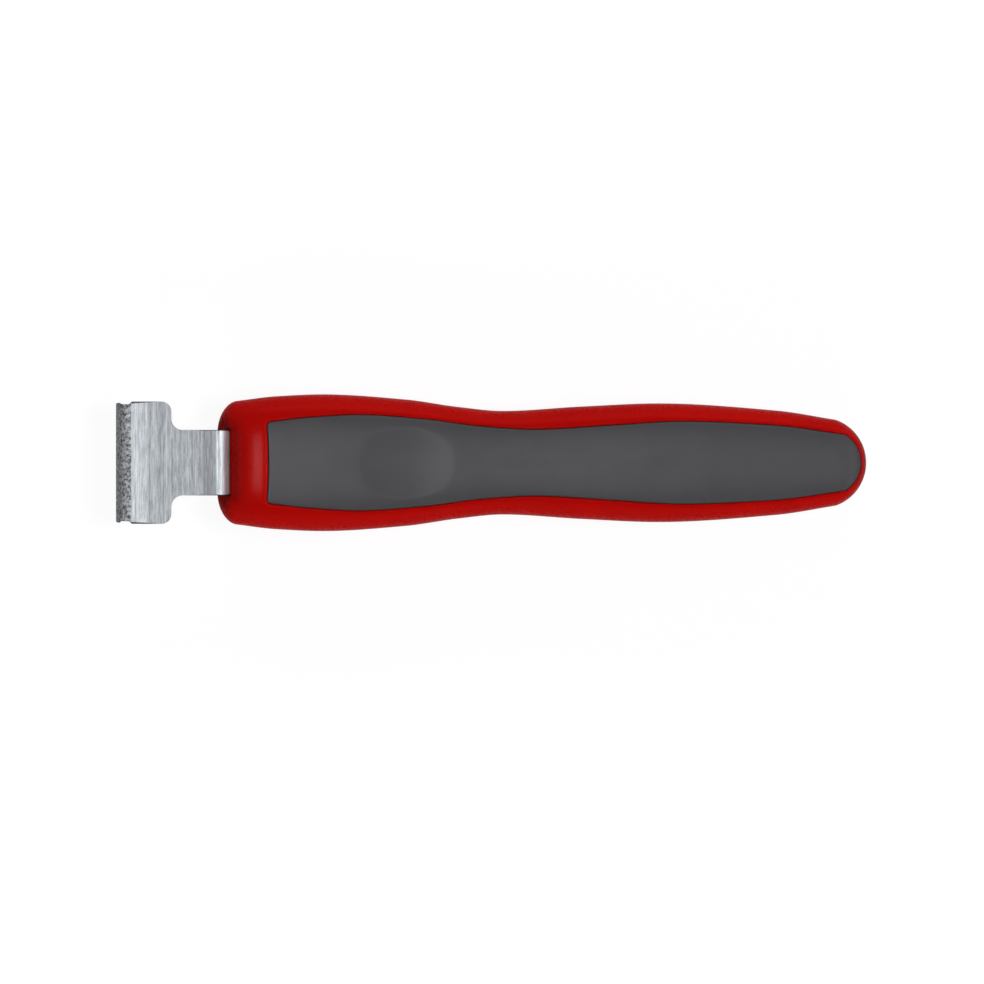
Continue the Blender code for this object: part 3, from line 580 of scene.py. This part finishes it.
def shell_rings(surface, base, up):
    """Rings of a shell from its pocket floor over the rim and the outside to the seam.

    up is 1 for the upper shell and -1 for the lower; base is the seam height.
    """
    brink = base + up * SEAM_ROUND
    spine = [spine_point(p) for p in PANEL_EDGE]
    inner = [moved_out(p, q, GROOVE_GAP) for p, q in zip(PANEL_EDGE, HANDLE_EDGE)]

    def height(point):
        value = surface(*point)
        return max(value, brink) if up > 0 else min(value, brink)

    def ring(points, fall):
        return [(NOSE_X + d, y, height((d, y)) - up * fall) for d, y in points]

    def over_rim(share):
        """The pocket's edge moved out over a share of the rim's width."""
        return [moved_out(p, q, rim_width(p, q) * share) for p, q in zip(inner, HANDLE_EDGE)]

    rings = []
    for i in range(FLOOR_RINGS + 1):
        rings.append(ring(blend(spine, inner, i / FLOOR_RINGS), PANEL_THICKNESS + GROOVE_GAP))
    for i in range(RIM_ROUND_STEPS + 1):
        turn = QUARTER_TURN * i / RIM_ROUND_STEPS
        rings.append(ring(over_rim(1 - math.cos(turn)), RIM_ROUND_DEPTH * (1 - math.sin(turn))))
    start = over_rim(1)
    for i in range(1, RIM_RINGS + 1):
        share = 1 - (1 - i / RIM_RINGS) ** RIM_CROWDING
        rings.append(ring(blend(start, HANDLE_EDGE, share), 0))
    for i in range(ROUND_STEPS + 1):
        turn = QUARTER_TURN * i / ROUND_STEPS
        inset = SEAM_ROUND * (1 - math.cos(turn))
        level = base + up * SEAM_ROUND * (1 - math.sin(turn))
        points = [moved_out(q, p, inset) for p, q in zip(start, HANDLE_EDGE)]
        rings.append([(NOSE_X + d, y, level) for d, y in points])
    return rings


def shell(name, surface, base, up):
    bm = bmesh.new()
    bridge_rings(bm, shell_rings(surface, base, up), cap_first=False)
    return make_object(name, bm)


# Soft panels

def panel_rings(surface, up, proud, fall_of):
    """Rings of a panel from its underside round its edge and in over its face to its middle line."""
    spine = [spine_point(p) for p in PANEL_EDGE]

    def height(distance, offset, drop, on_face):
        fall = fall_of(distance, offset) if on_face else 0
        return surface(distance, offset) + up * (proud - drop - fall)

    def ring(points, drop, on_face):
        return [(NOSE_X + d, y, height(d, y, drop, on_face)) for d, y in points]

    rings = []
    for i in range(FLOOR_RINGS + 1):
        rings.append(ring(blend(spine, PANEL_EDGE, i / FLOOR_RINGS), PANEL_THICKNESS, False))
    for i in range(ROUND_STEPS + 1):
        turn = QUARTER_TURN * i / ROUND_STEPS
        inset = PANEL_EDGE_ROUND * (1 - math.cos(turn))
        points = [moved_out(p, q, inset) for p, q in zip(PANEL_EDGE, spine)]
        rings.append(ring(points, PANEL_EDGE_ROUND * (1 - math.sin(turn)), True))
    start = [moved_out(p, q, PANEL_EDGE_ROUND) for p, q in zip(PANEL_EDGE, spine)]
    for i in range(1, PANEL_RINGS + 1):
        rings.append(ring(blend(start, spine, i / PANEL_RINGS), 0, True))
    return rings


def panel(name, surface, up, proud, fall_of):
    bm = bmesh.new()
    bridge_rings(bm, panel_rings(surface, up, proud, fall_of), cap_first=False, cap_last=False)
    return make_object(name, bm)


# Blade

def bend_segments():
    """Stretches of the strip from the lip's edge to the tang's end: (length, turn), the turn in radians."""
    drop = STRIP_TOP_HEIGHT - STRIP_THICKNESS / 2 - PARTING_HEIGHT
    bend_drop = CRANK_RADIUS * (1 - math.cos(CRANK_ANGLE))
    slope = (drop - 2 * bend_drop) / math.sin(CRANK_ANGLE)
    outer_radius = LIP_BEND_RADIUS + STRIP_THICKNESS / 2
    lip_reach = LIP_LENGTH * math.cos(LIP_ANGLE) + outer_radius * math.sin(LIP_ANGLE)
    return (
        (LIP_LENGTH, 0),
        (LIP_BEND_RADIUS * LIP_ANGLE, -LIP_ANGLE),
        (BLADE_REACH + CRANK_SETBACK - lip_reach, 0),
        (CRANK_RADIUS * CRANK_ANGLE, -CRANK_ANGLE),
        (slope, 0),
        (CRANK_RADIUS * CRANK_ANGLE, CRANK_ANGLE),
        (TANG_LENGTH, 0),
    )


def segment_starts():
    starts = [0]
    for length, _ in bend_segments():
        starts.append(starts[-1] + length)
    return starts


def strip_point(along, rise):
    """Place on the bent strip of a point along the flat blank and rise above its middle surface."""
    x = 0
    z = 0
    heading = LIP_ANGLE
    for index, (length, turn) in enumerate(bend_segments()):
        last = index == len(bend_segments()) - 1
        run = along if last else min(along, length)
        if turn:
            radius = length / turn
            swing = heading + run / radius
            x += radius * (math.sin(swing) - math.sin(heading))
            z += radius * (math.cos(heading) - math.cos(swing))
            heading = swing
        else:
            x += run * math.cos(heading)
            z += run * math.sin(heading)
        along -= run
        if along <= 0 and not last:
            break
    return x - rise * math.sin(heading), z + rise * math.cos(heading)


def strip_place(along, rise):
    """The same place in the tool's frame, where the crank starts just behind the nose's front."""
    x, z = strip_point(along, rise)
    crank_x, crank_z = strip_point(segment_starts()[CRANK_START], 0)
    shift_x = NOSE_X + CRANK_SETBACK - crank_x
    shift_z = STRIP_TOP_HEIGHT - STRIP_THICKNESS / 2 - crank_z
    return x + shift_x, z + shift_z


def arc_points(centre, radius, start, turn):
    points = []
    for i in range(BLANK_STEPS + 1):
        angle = start + turn * i / BLANK_STEPS
        points.append((centre[0] + radius * math.cos(angle), centre[1] + radius * math.sin(angle)))
    return points


def blank_side():
    """One edge of the flat blank, as (along, half width) from the lip's edge to the tang's end."""
    starts = segment_starts()
    notch_half = LIP_WIDTH / 2 - NOTCH_DEPTH
    side = [
        (0, LIP_WIDTH / 2),
        (NOTCH_START, LIP_WIDTH / 2),
        (NOTCH_START + NOTCH_RUN, notch_half),
        (starts[HEAD_START] - NOTCH_RUN, notch_half),
        (starts[HEAD_START], HEAD_WIDTH / 2),
    ]
    head_end = starts[HEAD_START] + HEAD_LENGTH
    corner = (head_end - HEAD_CORNER_RADIUS, HEAD_WIDTH / 2 - HEAD_CORNER_RADIUS)
    side += arc_points(corner, HEAD_CORNER_RADIUS, QUARTER_TURN, -QUARTER_TURN)
    fillet = (head_end + STEM_FILLET_RADIUS, STEM_WIDTH / 2 + STEM_FILLET_RADIUS)
    side += arc_points(fillet, STEM_FILLET_RADIUS, math.pi, QUARTER_TURN)
    tang_start = starts[TANG_START] + TANG_SHOULDER
    narrowing = (STEM_WIDTH - TANG_WIDTH) / 2
    side += [
        (tang_start, STEM_WIDTH / 2),
        (tang_start + narrowing, TANG_WIDTH / 2),
        (starts[TANG_END] - TANG_SHOULDER, TANG_WIDTH / 2),
        (starts[TANG_END], TANG_WIDTH / 2 - TANG_SHOULDER),
    ]
    return side


def crease_places():
    """Places along the blank that need an edge across it: the grind, and the steps of each bend."""
    places = [LIP_GRIND_LENGTH]
    for start, (length, turn) in zip(segment_starts(), bend_segments()):
        if turn:
            places += [start + length * i / BEND_STEPS for i in range(BEND_STEPS + 1)]
    return places


def strip_below(along):
    """How far the strip's inner face lies below its middle surface: the lip is ground thin from inside."""
    ground = STRIP_THICKNESS - LIP_EDGE_THICKNESS
    return STRIP_THICKNESS / 2 - ground * max(1 - along / LIP_GRIND_LENGTH, 0)


def blade():
    """The flat blank with broken edges, creased across, then bent to shape."""
    bm = bmesh.new()
    side = blank_side()
    outline = side + [(along, -half) for along, half in reversed(side)]
    half_thick = STRIP_THICKNESS / 2
    faces = [[(along, half, rise) for along, half in outline] for rise in (-half_thick, half_thick)]
    bridge_rings(bm, faces)
    rims = [edge for edge in bm.edges if abs(edge.verts[0].co.z - edge.verts[1].co.z) < MERGE_DISTANCE]
    bmesh.ops.bevel(
        bm, geom=rims, offset=STRIP_EDGE_ROUND, segments=BEVEL_STEPS, profile=0.5, affect="EDGES"
    )
    bm.normal_update()
    for face in bm.faces:
        face.material_index = int(abs(face.normal.z) < SHEARED_LEVEL)
    for place in crease_places():
        geometry = bm.verts[:] + bm.edges[:] + bm.faces[:]
        bmesh.ops.bisect_plane(
            bm, geom=geometry, dist=MERGE_DISTANCE, plane_co=(place, 0, 0), plane_no=(1, 0, 0)
        )
    for vert in bm.verts:
        along = vert.co.x
        rise = vert.co.z if vert.co.z > 0 else vert.co.z / half_thick * strip_below(along)
        x, z = strip_place(along, rise)
        vert.co = Vector((x, vert.co.y, z))
    strip = make_object("blade_strip", bm, STRIP_SHARP_DEGREES)
    flatten = strip.modifiers.new("flat_faces", "WEIGHTED_NORMAL")
    flatten.weight = FLAT_FACE_WEIGHT
    flatten.keep_sharp = True
    return strip


def strip_line(rise):
    """Points along the bent strip inside the handle, rise above its middle surface."""
    starts = segment_starts()
    places = [starts[CRANK_START] - OVERRUN]
    for index in (CRANK_START, LOWER_CRANK_START):
        length = bend_segments()[index][0]
        places += [starts[index] + length * i / BEND_STEPS for i in range(BEND_STEPS + 1)]
    places.append(starts[TANG_END] + SLOT_GAP)
    return [strip_place(place, rise) for place in places]


def strip_slot(sign):
    """Slot for the strip in the upper shell (sign 1) or the lower (sign -1), open towards the other."""
    line = strip_line(sign * (STRIP_THICKNESS / 2 + SLOT_GAP))
    away = PARTING_HEIGHT - OVERRUN if sign > 0 else STRIP_TOP_HEIGHT + OVERRUN
    bm = bmesh.new()
    side_prism(bm, line + [(line[-1][0], away), (line[0][0], away)], STEM_WIDTH + 2 * SLOT_GAP)
    return make_object("slot", bm)


def nose_block():
    """Part of the nose under the strip, which the lower shell carries up into the upper one's slot."""
    low = PARTING_HEIGHT - NOSE_FACE_RISE / 2
    front = SEAM_GAP / 2
    length = strip_place(segment_starts()[TANG_START], 0)[0] - NOSE_X - front
    rings = []
    for i in range(BLOCK_STEPS + 1):
        distance = front + length * (1 - math.cos(QUARTER_TURN * i / BLOCK_STEPS))
        half = min(STEM_WIDTH / 2, half_width(distance) - SEAM_ROUND)
        offsets = [half * (1 - 2 * j / BLOCK_STEPS) for j in range(BLOCK_STEPS + 1)]
        top = [(NOSE_X + distance, offset, upper_surface(distance, offset)) for offset in offsets]
        rings.append([(NOSE_X + distance, half, low)] + top + [(NOSE_X + distance, -half, low)])
    bm = bmesh.new()
    bridge_rings(bm, rings)
    return make_object("nose_block", bm)


# Shader nodes

def new_material(name):
    material = bpy.data.materials.new(name)
    material.use_nodes = True
    tree = material.node_tree
    return material, tree, tree.nodes["Principled BSDF"]


def add_node(tree, kind, **values):
    node = tree.nodes.new(kind)
    for key, value in values.items():
        setattr(node, key, value)
    return node


def feed(tree, socket, source):
    """Set a socket to a plain value, or link another node's output to it."""
    if isinstance(source, bpy.types.NodeSocket):
        tree.links.new(source, socket)
    else:
        socket.default_value = source


def math_of(tree, operation, first, second):
    """Result of one Math node on two sources."""
    node = add_node(tree, "ShaderNodeMath", operation=operation)
    feed(tree, node.inputs[0], first)
    feed(tree, node.inputs[1], second)
    return node.outputs[0]


def mixed(tree, first, second, factor, blend_type="MIX"):
    """Colour mixed from two other colours."""
    node = add_node(tree, "ShaderNodeMix", data_type="RGBA", blend_type=blend_type)
    feed(tree, node.inputs["Factor"], factor)
    feed(tree, node.inputs["A"], first)
    feed(tree, node.inputs["B"], second)
    return node.outputs["Result"]


def coordinate(tree, kind, axis):
    """One axis of the object's own coordinates (Object) or of the world's direction (Generated)."""
    where = add_node(tree, "ShaderNodeTexCoord")
    parts = add_node(tree, "ShaderNodeSeparateXYZ")
    tree.links.new(where.outputs[kind], parts.inputs[0])
    return parts.outputs[axis]


def noise(tree, pace, detail=3, roughness=0.55):
    """Noise on the object; pace is its features per metre, one number or one for each axis."""
    where = add_node(tree, "ShaderNodeTexCoord")
    mapping = add_node(tree, "ShaderNodeMapping")
    mapping.inputs["Scale"].default_value = pace if isinstance(pace, tuple) else (pace, pace, pace)
    tree.links.new(where.outputs["Object"], mapping.inputs["Vector"])
    texture = add_node(tree, "ShaderNodeTexNoise")
    texture.inputs["Scale"].default_value = 1
    texture.inputs["Detail"].default_value = detail
    texture.inputs["Roughness"].default_value = roughness
    tree.links.new(mapping.outputs["Vector"], texture.inputs["Vector"])
    return texture.outputs["Fac"]


def ramp(tree, source, stops):
    """Colour ramp through (place, grey or colour) stops."""
    node = add_node(tree, "ShaderNodeValToRGB")
    line = node.color_ramp
    while len(line.elements) < len(stops):
        line.elements.new(0.5)
    for element, (place, colour) in zip(line.elements, stops):
        element.position = place
        element.color = (*colour, 1) if isinstance(colour, tuple) else (colour, colour, colour, 1)
    tree.links.new(source, node.inputs["Fac"])
    return node.outputs["Color"]


def spread(tree, source, low, high, start=0.3, end=0.7):
    """The source's stretch from start to end, mapped to the stretch from low to high."""
    node = add_node(tree, "ShaderNodeMapRange")
    for name, value in (("From Min", start), ("From Max", end), ("To Min", low), ("To Max", high)):
        node.inputs[name].default_value = value
    tree.links.new(source, node.inputs["Value"])
    return node.outputs["Result"]


def bump(tree, shader, source, strength, depth):
    node = add_node(tree, "ShaderNodeBump")
    node.inputs["Strength"].default_value = strength
    node.inputs["Distance"].default_value = depth
    tree.links.new(source, node.inputs["Height"])
    tree.links.new(node.outputs["Normal"], shader.inputs["Normal"])


# Materials

def red_plastic():
    """Hard semi-gloss plastic with a fine moulded grain that breaks up its highlights."""
    material, tree, shader = new_material("red_plastic")
    cloud = noise(tree, 90)
    tint = ramp(tree, cloud, ((0.3, (0.38, 0.0015, 0.0006)), (0.7, (0.42, 0.002, 0.0008))))
    grain = noise(tree, 1500, detail=3, roughness=0.7)
    feed(tree, shader.inputs["Base Color"], tint)
    feed(tree, shader.inputs["Roughness"], spread(tree, grain, low=0.2, high=0.4))
    feed(tree, shader.inputs["Specular IOR Level"], 0.05)
    bump(tree, shader, grain, strength=0.3, depth=0.02 * MM)
    return material


def grey_rubber():
    """Matte soft-touch elastomer."""
    material, tree, shader = new_material("grey_rubber")
    cloud = noise(tree, 160)
    tint = ramp(tree, cloud, ((0.3, (0.032, 0.0313, 0.0345)), (0.7, (0.037, 0.036, 0.04))))
    grain = noise(tree, 5200, detail=2)
    feed(tree, shader.inputs["Base Color"], tint)
    feed(tree, shader.inputs["Roughness"], spread(tree, grain, low=0.48, high=0.54))
    feed(tree, shader.inputs["Specular IOR Level"], 0.5)
    bump(tree, shader, grain, strength=0.3, depth=0.01 * MM)
    return material


def rolled_steel():
    """Steel strip with grain running across the tool, bands of painted highlight and shade, and a dark rough
    lip partly darkened with painted shade.
    """
    material, tree, shader = new_material("rolled_steel")
    along = coordinate(tree, "Object", "X")
    front = ROUGH_LIP_X - ROUGH_LIP_BLUR
    back = ROUGH_LIP_X + ROUGH_LIP_BLUR

    fine = noise(tree, (3600, 260, 3600), detail=4, roughness=0.8)
    broad = noise(tree, (1500, 10, 1500), detail=3, roughness=0.6)
    fine_share = spread(tree, fine, low=0, high=0.6, start=0.38, end=0.62)
    broad_share = spread(tree, broad, low=0, high=0.4, start=0.36, end=0.64)
    tone = math_of(tree, "ADD", fine_share, broad_share)
    grain = ramp(tree, tone, ((0.1, (0.3, 0.32, 0.34)), (0.9, (0.7, 0.74, 0.78))))
    # The bands paint highlight and shade over the grain: a lighter head by the lip's bend, a darker stem, a
    # bright crank bend
    bands = ramp(tree, spread(tree, along, low=0, high=1, start=ROUGH_LIP_X, end=CRANK_X), PAINTED_LIGHT_BANDS)
    steel = mixed(tree, grain, bands, 1, "MULTIPLY")

    # The lip's dark grainy tone is partly its rough ground steel and partly painted shade of its down-turned
    # face
    pits = noise(tree, 1500, detail=4, roughness=0.7)
    dark = ramp(tree, pits, ((0.4, (0.06, 0.065, 0.075)), (0.64, (0.6, 0.62, 0.64))))
    on_lip = spread(tree, along, low=1, high=0, start=front, end=back)
    feed(tree, shader.inputs["Base Color"], mixed(tree, steel, dark, on_lip))

    lip_metal = spread(tree, along, low=0.1, high=1, start=front, end=back)
    # The crank's bend is made less metallic so that its painted highlight shows as a bright band
    crank_highlight_metal = spread(tree, along, low=1, high=0.5, start=NOSE_X, end=CRANK_X)
    feed(tree, shader.inputs["Metallic"], math_of(tree, "MINIMUM", lip_metal, crank_highlight_metal))
    grain_rough = spread(tree, fine, low=0.3, high=0.42)
    lip_rough = spread(tree, along, low=0.3, high=0, start=front, end=back)
    feed(tree, shader.inputs["Roughness"], math_of(tree, "ADD", grain_rough, lip_rough))
    bump(tree, shader, fine, strength=0.25, depth=0.01 * MM)
    return material


def shaded_sheared_edge():
    """Dull steel of the strip's punched edges and their rounds, painted dark as shade along the edges."""
    material, tree, shader = new_material("shaded_sheared_edge")
    grain = noise(tree, (900, 900, 4200), detail=4, roughness=0.7)
    tint = ramp(tree, grain, ((0.35, (0.07, 0.075, 0.08)), (0.65, (0.22, 0.23, 0.24))))
    feed(tree, shader.inputs["Base Color"], tint)
    feed(tree, shader.inputs["Metallic"], 0.8)
    feed(tree, shader.inputs["Roughness"], spread(tree, grain, low=0.4, high=0.6))
    bump(tree, shader, grain, strength=0.3, depth=0.01 * MM)
    return material


def zinc():
    """Plated screws."""
    material, tree, shader = new_material("zinc")
    cloud = noise(tree, 1500)
    tint = ramp(tree, cloud, ((0.3, (0.5, 0.5, 0.47)), (0.7, (0.68, 0.68, 0.64))))
    feed(tree, shader.inputs["Base Color"], tint)
    feed(tree, shader.inputs["Metallic"], 1)
    feed(tree, shader.inputs["Roughness"], spread(tree, cloud, low=0.32, high=0.5))
    return material


def white_floor():
    """Pale floor that the camera sees as white, with the object's shadow kept."""
    material, tree, shader = new_material("white_floor")
    tree.nodes.remove(shader)
    rays = add_node(tree, "ShaderNodeLightPath")
    paint = add_node(tree, "ShaderNodeBsdfDiffuse")
    tone = ramp(tree, rays.outputs["Is Glossy Ray"], ((0, FLOOR_TONE), (1, FLOOR_MIRRORED_TONE)))
    feed(tree, paint.inputs["Color"], tone)
    glow = add_node(tree, "ShaderNodeEmission")
    feed(tree, glow.inputs["Color"], (1, 1, 1, 1))
    feed(tree, glow.inputs["Strength"], FLOOR_GLOW)
    mix = add_node(tree, "ShaderNodeMixShader")
    share = math_of(tree, "MULTIPLY", rays.outputs["Is Camera Ray"], FLOOR_GLOW_SHARE)
    feed(tree, mix.inputs["Fac"], share)
    feed(tree, mix.inputs[1], paint.outputs[0])
    feed(tree, mix.inputs[2], glow.outputs[0])
    feed(tree, tree.nodes["Material Output"].inputs["Surface"], mix.outputs[0])
    return material


# Studio

def light_world():
    """A world that is white to the camera, dim to matte surfaces, and has pale walls for glossy ones."""
    world = bpy.data.worlds.new("studio")
    bpy.context.scene.world = world
    world.use_nodes = True
    tree = world.node_tree
    background = tree.nodes["Background"]
    rays = add_node(tree, "ShaderNodeLightPath")
    direction = coordinate(tree, "Generated", "Z")
    fade_start, fade_end = WALL_FADE
    walls = spread(tree, direction, low=WALL_LIGHT, high=WORLD_LIGHT, start=fade_start, end=fade_end)
    mirrored_walls = math_of(tree, "MULTIPLY", walls, rays.outputs["Is Glossy Ray"])
    lit = math_of(tree, "MAXIMUM", WORLD_LIGHT, mirrored_walls)
    seen = math_of(tree, "MAXIMUM", lit, rays.outputs["Is Camera Ray"])
    feed(tree, background.inputs["Color"], (1, 1, 1, 1))
    feed(tree, background.inputs["Strength"], seen)


def add_light(name, place, size, power, lit):
    """Soft box aimed at the tool; lit limits it to the matte or to the glossy side of the materials."""
    light = bpy.data.lights.new(name, "AREA")
    light.shape = "RECTANGLE"
    light.size, light.size_y = size
    light.energy = power
    item = bpy.data.objects.new(name, light)
    item.location = place
    item.rotation_euler = (-Vector(place)).to_track_quat("-Z", "Y").to_euler()
    item.visible_camera = False
    item.visible_glossy = lit == "glossy"
    item.visible_diffuse = lit == "matte"
    bpy.context.scene.collection.objects.link(item)


def lay_floor():
    bm = bmesh.new()
    bmesh.ops.create_grid(bm, x_segments=2, y_segments=2, size=FLOOR_HALF_SIDE)
    floor = make_object("floor", bm)
    floor.location.z = -FLOOR_DROP
    floor.data.materials.append(white_floor())


def set_camera():
    """A distant camera straight above the tool, at the photograph's scale and framing."""
    camera = bpy.data.cameras.new("camera")
    camera.sensor_width = SENSOR_MM
    frame_width = PHOTO_SIDE_PX * MM_PER_PX * MM
    camera.lens = SENSOR_MM * (CAMERA_DISTANCE - SCALE_HEIGHT) / frame_width
    item = bpy.data.objects.new("camera", camera)
    aside = (PHOTO_MIDDLE_PX - TOOL_MIDDLE_PX[0]) * MM_PER_PX * MM
    below = (TOOL_MIDDLE_PX[1] - PHOTO_MIDDLE_PX) * MM_PER_PX * MM
    item.location = (aside, below, CAMERA_DISTANCE)
    bpy.context.scene.collection.objects.link(item)
    bpy.context.scene.camera = item


def studio():
    bpy.context.scene.view_settings.view_transform = "Standard"
    light_world()
    for light in LIGHTS:
        add_light(*light)
    lay_floor()
    set_camera()


# Dressing

def dress(piece, materials, slot, *nodes):
    """Give a piece its materials, its body and the CAD nodes that it stands for."""
    for material in materials:
        piece.data.materials.append(material)
    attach(piece, "root")
    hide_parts(*nodes)


def paint_node(node, material):
    """Give a CAD node, which keeps its own mesh, a material."""
    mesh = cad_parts[node].data
    mesh.materials.clear()
    mesh.materials.append(material)


def main():
    studio()
    red = red_plastic()
    grey = grey_rubber()
    screw_metal = zinc()

    upper = shell("shell_upper", upper_surface, PARTING_HEIGHT + SEAM_GAP / 2, 1)
    bake_boolean(upper, strip_slot(1), "DIFFERENCE")
    dress(upper, (red,), "handle_red", "handle_shell_upper")

    lower = shell("shell_lower", lower_surface, PARTING_HEIGHT - SEAM_GAP / 2, -1)
    bake_boolean(lower, nose_block(), "UNION")
    bake_boolean(lower, strip_slot(-1), "DIFFERENCE")
    dress(lower, (red,), "handle_red", "handle_shell_lower")

    top_panel = panel("panel_upper", upper_surface, 1, 0, dish_fall)
    dress(top_panel, (grey,), "grip_grey", "grip_panel_upper")
    under_panel = panel("panel_lower", lower_surface, -1, LOWER_PANEL_PROUD, lambda d, y: 0)
    dress(under_panel, (grey,), "grip_grey", "grip_panel_lower")

    dress(blade(), (rolled_steel(), shaded_sheared_edge()), "blade_steel", "scraper_blade")
    for node in ("tang_screw_front", "tang_screw_rear", "tail_screw"):
        paint_node(node, screw_metal)


main()
